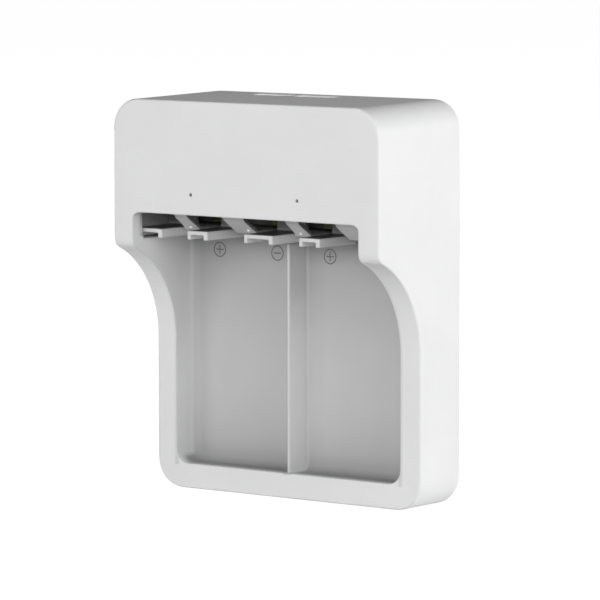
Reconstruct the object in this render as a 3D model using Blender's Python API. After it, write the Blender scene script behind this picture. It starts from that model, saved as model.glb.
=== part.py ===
"""Two-bay charger for nine volt block batteries.

Units are metres. X runs across the charger, +Y is its back and +Z its top.
The origin is the middle of the base. A "depth" is a distance behind the front
of the head, and at_depth turns it into a Y coordinate.
"""
import math

import bmesh
import bpy
from mathutils import Vector

# Overall form of the housing
WIDTH = 0.0663
DEPTH = 0.0277
HEAD_HEIGHT = 0.0805
TOP_RISE = 0.00045
CORNER_RADIUS = 0.006
EDGE_FILLET = 0.00045
LOWER_THICKNESS = 0.01364
LOWER_FRONT_DEPTH = DEPTH - LOWER_THICKNESS
FACE_HEIGHT = 0.0229
LIP_HEIGHT = HEAD_HEIGHT - FACE_HEIGHT
SWEEP_RADIUS = 0.0207
SWEEP_DROP = 0.0266
SWEEP_START_HEIGHT = LIP_HEIGHT - SWEEP_DROP
HEAD_EDGE_RADIUS = 0.0023
WALL = 0.0018
INNER_WALL = 0.0015

# Battery bays
RIM_WIDTH = 0.0049
OPENING_WIDTH = WIDTH - 2 * RIM_WIDTH
BAY_MARGIN = 0.00015
BAY_PITCH = OPENING_WIDTH / 2 - BAY_MARGIN
OPENING_BOTTOM = 0.0051
REAR_ROOM = 0.0075
FLOOR_DEPTH = DEPTH - REAR_ROOM
FLOOR_FILLET = 0.0018
OPENING_BOTTOM_RADIUS = 0.0029
LIP_RADIUS = 0.0018
DIVIDER_SETBACK = 0.00074
DIVIDER_EDGE = 0.0006
DIVIDER_ROOT = 0.0011
DIVIDER_CLEARANCE = 0.0008

# Slanted ceiling over the contacts, and the windows in it
LIP_THICKNESS = 0.002
CEILING_STEP = 0.0016
CEILING_LEDGE_DEPTH = 0.0056
CEILING_LEDGE = 0.00025
CEILING_FOOT_DEPTH = 0.0102
CEILING_DROP = 0.004
CEILING_HEIGHT = LIP_HEIGHT - CEILING_DROP
CEILING_THICKNESS = 0.0008
WINDOW_FRONT_DEPTH = 0.0025
WINDOW_BACK_MARGIN = 0.0012
WINDOW_LEFT_MARGIN = 0.0013
WINDOW_RIGHT_MARGIN = 0.0027
WIDE_WINDOW_RIGHT_MARGIN = 0.0008
WIDE_WINDOW_SHOULDER = 0.0012
FLANGE_DEPTH = 0.0035

# Contact rails
RAIL_FRONT_DEPTH = 0.00385
RAIL_BACK_SETBACK = 0.0042
RAIL_BACK_DEPTH = FLOOR_DEPTH - RAIL_BACK_SETBACK
RAIL_DROP = 0.0035
RAIL_TOP = LIP_HEIGHT - RAIL_DROP
RAIL_HEIGHT = 0.0018
RAIL_PLATE = 0.00083
UPRIGHT_THICKNESS = 0.0012
SEAT_RISE = 0.0073
SEAT_HEIGHT = RAIL_TOP + SEAT_RISE
SEAT_THICKNESS = 0.001
SEAT_LENGTH = 0.0038
RAIL_FILLET = 0.0006
RAIL_EDGE = 0.00012
TERMINAL_SPACING = 0.0127
PLUS_INSET = 0.00075
PLUS_OFFSET = PLUS_INSET - BAY_PITCH / 2
PLUS_RAIL_WIDTH = 0.0072
MINUS_RAIL_WIDTH = 0.0051
LEFT_LEG = 0.00075
RIGHT_LEG = 0.00105

# Sheet metal, springs and the guide that the rails slide in
STRIP_THICKNESS = 0.00025
STRIP_FRONT_MARGIN = 0.0012
DIMPLE_RADIUS = 0.0009
DIMPLE_HEIGHT = 0.0006
SPRING_RADIUS = 0.00145
SPRING_WIRE = 0.00019
SPRING_LENGTH = 0.0074
SPRING_TURNS = 6.5
TAB_THICKNESS = 0.0005
TAB_WIDTH = 0.0036
TAB_LEG = 0.004
GUIDE_FRONT_REACH = 0.0044
GUIDE_BACK_REACH = 0.0036
GUIDE_HEIGHT = 0.0035
GUIDE_END = 0.0014
GUIDE_LEG_DEPTH = 0.0016
GUIDE_LEG_GAP = 0.0042

# Boards and what they carry
BOARD_THICKNESS = 0.001
BOARD_ROOM = 0.0005
BOARD_DROP = 0.0196
BOARD_BOTTOM = LIP_HEIGHT - BOARD_DROP
BOARD_SHOULDER_DROP = 0.011
BOARD_SHOULDER = HEAD_HEIGHT - BOARD_SHOULDER_DROP
BOARD_INSET = 0.00465
BOARD_NECK_CLEARANCE = 0.00075
BOARD_POST_RADIUS = 0.002
BOARD_POST_INSET = 0.0085
BOARD_POST_DROPS = (0.0161, 0.0066)
LED_INSET = 0.00075
LED_X = BAY_PITCH / 2 - LED_INSET
LED_RISE = 0.0041
LED_HEIGHT = LIP_HEIGHT + LED_RISE
LED_HOLE_RADIUS = 0.00033
LED_FACE = 0.0009
LED_SIZE = 0.0016
LED_CORNER = 0.00027
LED_THICKNESS = 0.001
PIPE_RADIUS = 0.0009
PIPE_LENGTH = 0.0018
LED_BOARD_END = 0.0037
LED_BOARD_HEIGHT = 0.0044
LED_POST_X = 0.007
LED_POST_RADIUS = 0.0012
RIBBON_WIDTH = 0.005
RIBBON_THICKNESS = 0.0005
RIBBON_DROP = 0.0075
RIBBON_HEIGHT = HEAD_HEIGHT - RIBBON_DROP

# Charging inputs in the top
TYPE_C_X = 0.00185
TYPE_C_OPENING = 0.01015
TYPE_C_WIDTH = 0.00894
TYPE_C_HEIGHT = 0.0032
TYPE_C_LENGTH = 0.0073
TYPE_C_SIDE = 0.00003
MICRO_X = -0.0091
MICRO_OPENING = 0.00935
MICRO_WIDTH = 0.0075
MICRO_HEIGHT = 0.0027
MICRO_LENGTH = 0.0056
MICRO_TAPER = 0.0009
MICRO_SHOULDER = 0.0012
PORT_OPENING_DEPTH = 0.0039
PORT_OPENING_RADIUS = 0.0012
SHELL_WALL = 0.0003
TONGUE_THICKNESS = 0.0007
TONGUE_BASE = 0.0012
TONGUE_SETBACK = 0.0009

# Rear cover and its screws
COVER_THICKNESS = 0.002
SCREW_INSET = 0.00615
SCREW_X = WIDTH / 2 - SCREW_INSET
LOWER_SCREW_HEIGHT = 0.0085
UPPER_SCREW_DROP = 0.0067
UPPER_SCREW_HEIGHT = HEAD_HEIGHT - UPPER_SCREW_DROP
BOSS_RADIUS = 0.00275
SCREW_RADIUS = 0.0011
SCREW_TIP_RADIUS = 0.00055
SCREW_LENGTH = 0.0053
SCREW_HEAD_RADIUS = 0.0024
SCREW_HEAD_HEIGHT = 0.0008
SCREW_CROWN_RADIUS = 0.0019
SCREW_CROWN = 0.00027
SCREW_RECESS = 0.0013
COVER_RIB = 0.0012
COVER_RIB_SETBACK = 0.0035

# Steel bar low behind the bays, so that the tall charger doesn't tip forward
WEIGHT_HEIGHT = 0.0104
WEIGHT_THICKNESS = 0.003
WEIGHT_CORNER = 0.001
WEIGHT_CLEARANCE = 0.0008

# Parts on the main board
CHIP_INSET = 0.00055
CHIP_SIZE = (0.0062, 0.0015, 0.005)
CHIP_LEGS = 4
CHIP_LEG_WIDTH = 0.0004
CHIP_LEG_REACH = 0.0009
POWER_RISE = 0.0056
INDUCTOR_OFFSET = 0.00645
INDUCTOR_RADIUS = 0.0029
INDUCTOR_LENGTH = 0.0032
INDUCTOR_RIM = 0.00064
INDUCTOR_WAIST = 0.0023
CAPACITOR_OFFSET = 0.0052
CAPACITOR_RADIUS = 0.0026
CAPACITOR_LENGTH = 0.0052
CAPACITOR_GROOVE = 0.0013
CAPACITOR_WAIST = 0.00234
CAPACITOR_EDGE = 0.00026

# Clearance between pieces that seat on each other, and reach of a cutter past a wall
GAP = 0.0003
OVERCUT = 0.001

# Facets in a quarter turn, and round whole pieces
CORNER_STEPS = 7
SMALL_STEPS = 4
DIMPLE_FACETS = 12
ROD_FACETS = 16
TURNED_FACETS = 20
RECESS_FACETS = 24
SPRING_SIDES = 6
SPRING_FACETS = 14

# Angles in degrees past which an edge is shaded sharp, or is rounded
SHARP_ANGLE = 30
ROUNDED_ANGLE = 35

SIDES = {"left": -1, "right": 1}
POLES = {
    "plus": (PLUS_OFFSET, PLUS_RAIL_WIDTH),
    "minus": (PLUS_OFFSET + TERMINAL_SPACING, MINUS_RAIL_WIDTH),
}


def at_depth(depth):
    return depth - DEPTH / 2


def board_front():
    """Depth of the main board's front, which stands just before the rear cover."""
    return DEPTH - COVER_THICKNESS - BOARD_ROOM - BOARD_THICKNESS


def board_post_x():
    return WIDTH / 2 - BOARD_INSET - BOARD_POST_INSET


def board_post_heights():
    return [LIP_HEIGHT - drop for drop in BOARD_POST_DROPS]


def top_at(depth):
    """Height of the sloping top over a given depth."""
    return HEAD_HEIGHT + TOP_RISE * depth / DEPTH


def clear_scene():
    for item in list(bpy.data.objects):
        bpy.data.objects.remove(item, do_unlink=True)


def make_material(name, colour, roughness, metallic=0.0):
    material = bpy.data.materials.new(name)
    material.use_nodes = True
    shader = material.node_tree.nodes["Principled BSDF"]
    shader.inputs["Base Color"].default_value = (*colour, 1.0)
    shader.inputs["Roughness"].default_value = roughness
    shader.inputs["Metallic"].default_value = metallic
    return material


def make_object(name, form, material):
    bmesh.ops.recalc_face_normals(form, faces=form.faces)
    mesh = bpy.data.meshes.new(name)
    form.to_mesh(mesh)
    form.free()
    mesh.materials.append(material)
    mesh.shade_smooth()
    mesh.set_sharp_from_angle(angle=math.radians(SHARP_ANGLE))
    piece = bpy.data.objects.new(name, mesh)
    bpy.context.collection.objects.link(piece)
    return piece


def hide_tool(tool):
    tool.hide_render = True
    tool.display_type = "WIRE"


def combine(piece, tool, operation, solver):
    """Cut the tool from the piece, or join it on, and leave the tool as a hidden guide."""
    hide_tool(tool)
    modifier = piece.modifiers.new(tool.name, "BOOLEAN")
    modifier.operation = operation
    modifier.object = tool
    modifier.solver = solver
    return piece


def cut(piece, tool, solver="EXACT"):
    return combine(piece, tool, "DIFFERENCE", solver)


def join(piece, tool, solver="EXACT"):
    return combine(piece, tool, "UNION", solver)


def bevel_all(piece, width, segments):
    modifier = piece.modifiers.new("edges", "BEVEL")
    modifier.width = width
    modifier.segments = segments
    modifier.limit_method = "ANGLE"
    modifier.angle_limit = math.radians(ROUNDED_ANGLE)
    modifier.use_clamp_overlap = False
    return piece


def extruded(outline, direction):
    """Solid between a closed outline and its copy moved by a direction."""
    form = bmesh.new()
    face = form.faces.new([form.verts.new(point) for point in outline])
    moved = bmesh.ops.extrude_face_region(form, geom=[face])["geom"]
    bmesh.ops.translate(form, vec=direction, verts=[v for v in moved if isinstance(v, bmesh.types.BMVert)])
    return form


def side_prism(outline, left, right):
    """Solid from (depth, height) points, running across the charger."""
    points = [(left, at_depth(depth), height) for depth, height in outline]
    return extruded(points, Vector((right - left, 0, 0)))


def front_prism(outline, front, back):
    """Solid from (x, height) points, running from one depth to another."""
    points = [(x, at_depth(front), height) for x, height in outline]
    return extruded(points, Vector((0, back - front, 0)))


def plan_prism(outline, bottom, top):
    """Solid from (x, depth) points, running up."""
    points = [(x, at_depth(depth), bottom) for x, depth in outline]
    return extruded(points, Vector((0, 0, top - bottom)))


def rectangle(left, right, low, high):
    return [(left, low), (right, low), (right, high), (left, high)]


def arc(centre, radius, start, end, steps):
    """Points on an arc, with angles in degrees."""
    points = []
    for step in range(steps + 1):
        angle = math.radians(start + (end - start) * step / steps)
        points.append((centre[0] + radius * math.cos(angle), centre[1] + radius * math.sin(angle)))
    return points


def rounded_rectangle(left, right, low, high, radius, steps=SMALL_STEPS):
    corners = [
        ((right - radius, low + radius), -90),
        ((right - radius, high - radius), 0),
        ((left + radius, high - radius), 90),
        ((left + radius, low + radius), 180),
    ]
    points = []
    for centre, start in corners:
        points += arc(centre, radius, start, start + 90, steps)
    return points


def disc(x, height, radius, steps=ROD_FACETS):
    return arc((x, height), radius, 0, 360 - 360 / steps, steps - 1)


def rod(name, x, height, radius, front, back, material, steps=ROD_FACETS):
    """Round bar that runs from one depth to another."""
    return make_object(name, front_prism(disc(x, height, radius, steps), front, back), material)


def turned(profile):
    """Solid turned round the Y axis from (radius, y) points that start and end on the axis."""
    form = bmesh.new()
    points = [form.verts.new((radius, y, 0)) for radius, y in profile]
    edges = [form.edges.new(pair) for pair in zip(points, points[1:])]
    bmesh.ops.spin(
        form, geom=points + edges, cent=(0, 0, 0), axis=(0, 1, 0), angle=math.tau, steps=TURNED_FACETS
    )
    bmesh.ops.remove_doubles(form, verts=form.verts, dist=1e-7)
    return form


def edges_along(form, axis, test):
    """Edges that run along one axis and whose middle passes a test."""
    chosen = []
    for edge in form.edges:
        first, second = (vert.co for vert in edge.verts)
        run = second - first
        if abs(run[axis]) > 0.99 * run.length and test((first + second) / 2):
            chosen.append(edge)
    return chosen


def round_edges(form, edges, radius, segments):
    bmesh.ops.bevel(form, geom=edges, offset=radius, segments=segments, profile=0.5, affect="EDGES")


# Front housing


def head_edge_centre():
    """Middle of the round that turns the sweep up into the head's front."""
    across = SWEEP_RADIUS - LOWER_FRONT_DEPTH + HEAD_EDGE_RADIUS
    reach = SWEEP_RADIUS + HEAD_EDGE_RADIUS
    return HEAD_EDGE_RADIUS, SWEEP_START_HEIGHT + math.sqrt(reach ** 2 - across ** 2)


def sweep_points():
    """Side view of the front, from the lower front up through the sweep to the head."""
    centre = (LOWER_FRONT_DEPTH - SWEEP_RADIUS, SWEEP_START_HEIGHT)
    edge_centre = head_edge_centre()
    rise = math.atan2(edge_centre[1] - centre[1], edge_centre[0] - centre[0])
    sweep_angle = math.degrees(rise)
    points = arc(centre, SWEEP_RADIUS, 0, sweep_angle, 2 * CORNER_STEPS)
    return points + arc(edge_centre, HEAD_EDGE_RADIUS, 180 + sweep_angle, 180, CORNER_STEPS)[1:]


def outer_block(material):
    """Round-cornered block whose top rises towards the back."""
    form = bmesh.new()
    loops = []
    for depth in (0, DEPTH):
        outline = rounded_rectangle(-WIDTH / 2, WIDTH / 2, 0, top_at(depth), CORNER_RADIUS, CORNER_STEPS)
        loops.append([form.verts.new((x, at_depth(depth), height)) for x, height in outline])
    front, back = loops
    form.faces.new(front)
    form.faces.new(back)
    for index, vert in enumerate(front):
        following = (index + 1) % len(front)
        form.faces.new((vert, front[following], back[following], back[index]))
    return make_object("front_housing", form, material)


def sweep_cutter(material):
    low, front = -OVERCUT, -OVERCUT
    outline = [(front, low), (LOWER_FRONT_DEPTH, low)] + sweep_points()
    outline.append((front, outline[-1][1]))
    reach = WIDTH / 2 + OVERCUT
    return make_object("sweep_cutter", side_prism(outline, -reach, reach), material)


def ceiling_profile():
    """Underside of the ceiling, from the back of the lip to the bay floor."""
    top = LIP_HEIGHT + CEILING_STEP
    slope = (top - CEILING_HEIGHT) / (CEILING_FOOT_DEPTH - LIP_THICKNESS)
    ledge = top - slope * (CEILING_LEDGE_DEPTH - LIP_THICKNESS)
    return [
        (LIP_THICKNESS, top),
        (CEILING_LEDGE_DEPTH, ledge),
        (CEILING_LEDGE_DEPTH, ledge - CEILING_LEDGE),
        (CEILING_FOOT_DEPTH, CEILING_HEIGHT),
        (FLOOR_DEPTH, CEILING_HEIGHT),
    ]


def bay_cutter(material):
    """Room for both batteries, with its ceiling, its lip and its rounded floor."""
    outline = [(-OVERCUT, LIP_HEIGHT), (LIP_THICKNESS, LIP_HEIGHT)] + ceiling_profile()
    outline += [(FLOOR_DEPTH, OPENING_BOTTOM), (-OVERCUT, OPENING_BOTTOM)]
    half = OPENING_WIDTH / 2
    form = side_prism(outline, -half, half)
    bottom = edges_along(form, 1, lambda middle: middle.z < OPENING_BOTTOM + GAP)
    round_edges(form, bottom, OPENING_BOTTOM_RADIUS, SMALL_STEPS + 1)
    lip = edges_along(form, 1, lambda middle: abs(middle.z - LIP_HEIGHT) < GAP)
    round_edges(form, lip, LIP_RADIUS, SMALL_STEPS)
    floor_y = at_depth(FLOOR_DEPTH)
    floor = [edge for edge in form.edges if all(abs(vert.co.y - floor_y) < GAP / 10 for vert in edge.verts)]
    floor = [edge for edge in floor if min(vert.co.z for vert in edge.verts) < CEILING_HEIGHT - GAP]
    round_edges(form, floor, FLOOR_FILLET, SMALL_STEPS)
    return make_object("bay_cutter", form, material)


def divider(material):
    """Thin wall between the bays, thicker at its root."""
    front = LOWER_FRONT_DEPTH + DIVIDER_SETBACK
    root = FLOOR_DEPTH + INNER_WALL / 2
    top = RAIL_TOP - RAIL_HEIGHT - DIVIDER_CLEARANCE
    outline = [
        (-DIVIDER_EDGE / 2, front),
        (DIVIDER_EDGE / 2, front),
        (DIVIDER_ROOT / 2, root),
        (-DIVIDER_ROOT / 2, root),
    ]
    return make_object("divider", plan_prism(outline, OPENING_BOTTOM - INNER_WALL / 2, top), material)


def hollow_cutter(material):
    """Inside of the head and the space behind the bays, open at the back."""
    roof = [(depth, height + CEILING_THICKNESS) for depth, height in ceiling_profile()]
    slope_top, slope_foot = roof[0], roof[3]
    rise = (slope_top[1] - slope_foot[1]) / (slope_foot[0] - slope_top[0])
    front_foot = slope_top[1] + rise * (slope_top[0] - WALL)
    behind = FLOOR_DEPTH + INNER_WALL
    back = DEPTH + OVERCUT
    outline = [
        (WALL, front_foot),
        slope_foot,
        (behind, slope_foot[1]),
        (behind, WALL),
        (back, WALL),
        (back, top_at(back) - WALL),
        (WALL, top_at(WALL) - WALL),
    ]
    half = WIDTH / 2 - WALL
    form = side_prism(outline, -half, half)
    radius = CORNER_RADIUS - WALL
    low = edges_along(form, 1, lambda middle: middle.z < WALL + GAP)
    high = edges_along(form, 1, lambda middle: middle.z > HEAD_HEIGHT - WALL - GAP)
    round_edges(form, low + high, radius, CORNER_STEPS)
    return make_object("hollow_cutter", form, material)


def rim_core_cutters(material):
    """Cores that thin the rim beside and below the bays."""
    behind = FLOOR_DEPTH + INNER_WALL + OVERCUT
    inner = OPENING_WIDTH / 2 + INNER_WALL
    outer = WIDTH / 2 - WALL
    centre = (LOWER_FRONT_DEPTH - SWEEP_RADIUS, SWEEP_START_HEIGHT)
    core = arc(centre, SWEEP_RADIUS + WALL, 0, 45, CORNER_STEPS)
    top = core[-1][1]
    front = LOWER_FRONT_DEPTH + WALL
    outline = [(behind, CORNER_RADIUS), (front, CORNER_RADIUS)] + core + [(behind, top)]
    cutters = []
    for side, sign in SIDES.items():
        form = side_prism(outline, sign * inner, sign * outer)
        cutters.append(make_object(f"{side}_core_cutter", form, material))
    floor = rectangle(-OPENING_WIDTH / 2, OPENING_WIDTH / 2, front, behind)
    form = plan_prism(floor, WALL, OPENING_BOTTOM - INNER_WALL)
    cutters.append(make_object("bottom_core_cutter", form, material))
    return cutters


def window_back():
    return RAIL_BACK_DEPTH + WINDOW_BACK_MARGIN


def window_outline(left, right, rounded):
    """Plan of one ceiling window. A wide rail's window narrows towards the back."""
    if not rounded:
        return rectangle(left, right, WINDOW_FRONT_DEPTH, window_back())
    narrow = right
    wide = right + WIDE_WINDOW_SHOULDER
    run = CEILING_FOOT_DEPTH - CEILING_LEDGE_DEPTH
    shoulder = []
    for step in range(SMALL_STEPS + 1):
        angle = math.pi / 2 * step / SMALL_STEPS
        x = narrow + (wide - narrow) * math.cos(angle)
        shoulder.append((x, CEILING_LEDGE_DEPTH + run * math.sin(angle)))
    corners = [(left, window_back()), (left, WINDOW_FRONT_DEPTH), (wide, WINDOW_FRONT_DEPTH)]
    return corners + shoulder + [(narrow, window_back())]


def window_cutters(material):
    cutters = []
    bottom = CEILING_HEIGHT - OVERCUT
    top = LIP_HEIGHT + CEILING_STEP + CEILING_THICKNESS + OVERCUT
    pocket_wall = -WIDTH / 2 + WALL
    for name, x, width in rails():
        rounded = width == PLUS_RAIL_WIDTH
        margin = WIDE_WINDOW_RIGHT_MARGIN if rounded else WINDOW_RIGHT_MARGIN
        left = max(x - width / 2 - WINDOW_LEFT_MARGIN, -OPENING_WIDTH / 2 - GAP)
        form = plan_prism(window_outline(left, x + width / 2 + margin, rounded), bottom, top)
        cutters.append(make_object(f"{name}_window_cutter", form, material))
    outline = rectangle(pocket_wall, -OPENING_WIDTH / 2 + GAP, FLANGE_DEPTH, window_back())
    form = plan_prism(outline, RAIL_TOP - RAIL_HEIGHT - GAP, top)
    cutters.append(make_object("flange_pocket_cutter", form, material))
    return cutters


def port_depth():
    """Depth of the middle of the sockets, whose backs lie on the board."""
    return board_front() - GAP - TYPE_C_HEIGHT / 2


def port_cutters(material):
    cutters = []
    front = port_depth() - PORT_OPENING_DEPTH / 2
    for name, x, width in (("type_c", TYPE_C_X, TYPE_C_OPENING), ("micro", MICRO_X, MICRO_OPENING)):
        outline = rounded_rectangle(
            x - width / 2, x + width / 2, front, front + PORT_OPENING_DEPTH, PORT_OPENING_RADIUS
        )
        form = plan_prism(outline, HEAD_HEIGHT - WALL - OVERCUT, HEAD_HEIGHT + TOP_RISE + OVERCUT)
        cutters.append(make_object(f"{name}_port_cutter", form, material))
    return cutters


def screw_places():
    places = []
    for height in (LOWER_SCREW_HEIGHT, UPPER_SCREW_HEIGHT):
        for sign in SIDES.values():
            places.append((sign * SCREW_X, height))
    return places


def boss_back_depth():
    return DEPTH - COVER_THICKNESS - GAP


def housing_posts(material):
    """Screw bosses, board posts and the light board's posts, all joined to the housing."""
    posts = []
    for index, (x, height) in enumerate(screw_places(), 1):
        front = WALL if height > LIP_HEIGHT else FLOOR_DEPTH + INNER_WALL
        posts.append(
            rod(f"boss_{index}", x, height, BOSS_RADIUS, front - WALL / 2, boss_back_depth(), material)
        )
    front = FLOOR_DEPTH + INNER_WALL / 2
    for index, height in enumerate(board_post_heights(), 1):
        for side, sign in SIDES.items():
            name = f"{side}_board_post_{index}"
            x = sign * board_post_x()
            posts.append(rod(name, x, height, BOARD_POST_RADIUS, front, board_front() - GAP, material))
    for side, sign in SIDES.items():
        x = sign * LED_POST_X
        name = f"{side}_light_post"
        back = led_board_depth() - GAP
        posts.append(rod(name, x, LED_HEIGHT, LED_POST_RADIUS, WALL / 2, back, material))
    return posts


def housing_holes(material):
    """Screw pilot holes, and the light holes with their wider seats behind."""
    holes = []
    back = boss_back_depth() + OVERCUT
    front = DEPTH - SCREW_RECESS - SCREW_LENGTH
    for index, (x, height) in enumerate(screw_places(), 1):
        holes.append(rod(f"pilot_{index}", x, height, SCREW_RADIUS + GAP, front, back, material))
    for side, sign in SIDES.items():
        x = sign * LED_X
        holes.append(rod(f"{side}_light_hole", x, LED_HEIGHT, LED_HOLE_RADIUS, -OVERCUT, WALL, material))
        seat = PIPE_RADIUS + GAP
        holes.append(rod(f"{side}_light_seat", x, LED_HEIGHT, seat, LED_FACE, WALL + OVERCUT, material))
    return holes


def front_housing(material):
    """One moulding. Past the bay cut the exact solver loses a sliver at the lip's rounded corners."""
    housing = outer_block(material)
    cut(housing, sweep_cutter(material))
    bevel_all(housing, EDGE_FILLET, 2)
    cut(housing, hollow_cutter(material))
    cut(housing, bay_cutter(material))
    for cutter in rim_core_cutters(material) + window_cutters(material) + port_cutters(material):
        cut(housing, cutter, "MANIFOLD")
    join(housing, divider(material), "MANIFOLD")
    for post in housing_posts(material):
        join(housing, post, "MANIFOLD")
    for hole in housing_holes(material):
        cut(housing, hole, "MANIFOLD")
    return housing


# Rear cover


def rear_cover(material):
    inset = WALL + GAP
    inner = DEPTH - COVER_THICKNESS
    outline = rounded_rectangle(
        -WIDTH / 2 + inset,
        WIDTH / 2 - inset,
        inset,
        top_at(inner) - inset,
        CORNER_RADIUS - inset,
        CORNER_STEPS,
    )
    cover = make_object("rear_cover", front_prism(outline, inner, DEPTH), material)
    reach = board_front() + BOARD_THICKNESS + GAP
    for side, sign in SIDES.items():
        low, high = sorted((sign * board_post_x(), sign * (board_post_x() - COVER_RIB)))
        rib = rectangle(low, high, BOARD_BOTTOM, BOARD_SHOULDER - COVER_RIB_SETBACK)
        join(cover, make_object(f"{side}_cover_rib", front_prism(rib, reach, inner + GAP), material))
    for index, (x, height) in enumerate(screw_places(), 1):
        hole = rod(f"cover_hole_{index}", x, height, SCREW_RADIUS + GAP, inner - OVERCUT, DEPTH, material)
        cut(cover, hole)
        radius = SCREW_HEAD_RADIUS + GAP
        front, back = DEPTH - SCREW_RECESS, DEPTH + OVERCUT
        cut(cover, rod(f"recess_{index}", x, height, radius, front, back, material, RECESS_FACETS))
    return cover


def cover_screws(material):
    """Pan head screws, each turned as one profile."""
    under_head = SCREW_RECESS - GAP
    profile = [
        (0, -SCREW_LENGTH),
        (SCREW_TIP_RADIUS, -SCREW_LENGTH),
        (SCREW_RADIUS, -SCREW_LENGTH + SCREW_RADIUS),
        (SCREW_RADIUS, 0),
        (SCREW_HEAD_RADIUS, 0),
        (SCREW_HEAD_RADIUS, SCREW_HEAD_HEIGHT - SCREW_CROWN),
        (SCREW_CROWN_RADIUS, SCREW_HEAD_HEIGHT),
        (0, SCREW_HEAD_HEIGHT),
    ]
    for index, (x, height) in enumerate(screw_places(), 1):
        screw = make_object(f"cover_screw_{index}", turned(profile), material)
        screw.location = (x, at_depth(DEPTH - under_head), height)


# Contact rails and what moves with them


def rails():
    """Name, middle and width of the four contact rails, from left to right."""
    found = []
    for side, sign in SIDES.items():
        for pole, (offset, width) in POLES.items():
            found.append((f"{side}_{pole}", sign * BAY_PITCH / 2 + offset, width))
    return found


def contact_rail(name, x, width, plastic):
    """L-shaped rail: a channel over the bay and an upright that slides in the guide."""
    bottom = RAIL_TOP - RAIL_HEIGHT
    upright = RAIL_BACK_DEPTH - UPRIGHT_THICKNESS
    seat_front = RAIL_BACK_DEPTH - SEAT_LENGTH
    seat_bottom = SEAT_HEIGHT - SEAT_THICKNESS
    inner_corner = arc((upright - RAIL_FILLET, RAIL_TOP + RAIL_FILLET), RAIL_FILLET, 0, -90, SMALL_STEPS)
    outline = [
        (RAIL_FRONT_DEPTH, bottom),
        (RAIL_BACK_DEPTH, bottom),
        (RAIL_BACK_DEPTH, SEAT_HEIGHT),
        (seat_front, SEAT_HEIGHT),
        (seat_front, seat_bottom),
        (upright, seat_bottom),
    ]
    outline += inner_corner + [(RAIL_FRONT_DEPTH, RAIL_TOP)]
    rail = make_object(f"{name}_rail", side_prism(outline, x - width / 2, x + width / 2), plastic)
    front, back = RAIL_FRONT_DEPTH - OVERCUT, RAIL_BACK_DEPTH + OVERCUT
    channel = side_prism(
        rectangle(front, back, bottom - OVERCUT, RAIL_TOP - RAIL_PLATE),
        x - width / 2 + LEFT_LEG,
        x + width / 2 - RIGHT_LEG,
    )
    cut(rail, make_object(f"{name}_channel_cutter", channel, plastic))
    return bevel_all(rail, RAIL_EDGE, 1)


def contact_strip(name, x, width, metal):
    """Bent strip: under the channel's plate, up the upright's back and over the spring seat."""
    run_top = RAIL_TOP - RAIL_PLATE - GAP
    run_bottom = run_top - STRIP_THICKNESS
    front = RAIL_FRONT_DEPTH + STRIP_FRONT_MARGIN
    leg_front = RAIL_BACK_DEPTH + GAP
    leg_back = leg_front + STRIP_THICKNESS
    tab_bottom = SEAT_HEIGHT + GAP
    tab_top = tab_bottom + STRIP_THICKNESS
    tab_front = RAIL_BACK_DEPTH - SEAT_LENGTH
    outline = [
        (front, run_bottom),
        (leg_back, run_bottom),
        (leg_back, tab_top),
        (tab_front, tab_top),
        (tab_front, tab_bottom),
        (leg_front, tab_bottom),
        (leg_front, run_top),
        (front, run_top),
    ]
    left = x - width / 2 + LEFT_LEG + GAP
    right = x + width / 2 - RIGHT_LEG - GAP
    strip = make_object(f"{name}_contact", side_prism(outline, left, right), metal)
    dimple = plan_prism(
        disc(x + (LEFT_LEG - RIGHT_LEG) / 2, spring_depth(), DIMPLE_RADIUS, DIMPLE_FACETS),
        tab_top - STRIP_THICKNESS / 2,
        tab_top + DIMPLE_HEIGHT,
    )
    return join(strip, make_object(f"{name}_lower_dimple", dimple, metal))


def spring_depth():
    return RAIL_BACK_DEPTH - SEAT_LENGTH / 2


def spring_bottom():
    return SEAT_HEIGHT + GAP + STRIP_THICKNESS + GAP


def spring_top():
    return spring_bottom() + SPRING_LENGTH


def rail_spring(name, x, metal):
    """Compression spring with closed end turns, swept as a tube along its helix."""
    steps = int(SPRING_TURNS * SPRING_FACETS)
    free = SPRING_LENGTH - 2 * SPRING_WIRE
    form = bmesh.new()
    rings = []
    for step in range(steps + 1):
        share = step / steps
        eased = share - math.sin(math.tau * share) / math.tau
        angle = math.tau * SPRING_TURNS * share
        outward = Vector((math.cos(angle), math.sin(angle), 0))
        centre = outward * SPRING_RADIUS + Vector((0, 0, SPRING_WIRE + free * eased))
        ring = []
        for side in range(SPRING_SIDES):
            turn = math.tau * side / SPRING_SIDES
            offset = outward * math.cos(turn) + Vector((0, 0, math.sin(turn)))
            ring.append(form.verts.new(centre + offset * SPRING_WIRE))
        rings.append(ring)
    for first, second in zip(rings, rings[1:]):
        for side in range(SPRING_SIDES):
            following = (side + 1) % SPRING_SIDES
            form.faces.new((first[side], first[following], second[following], second[side]))
    form.faces.new(rings[0])
    form.faces.new(rings[-1])
    spring = make_object(f"{name}_spring", form, metal)
    spring.location = (x + (LEFT_LEG - RIGHT_LEG) / 2, at_depth(spring_depth()), spring_bottom())


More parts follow.
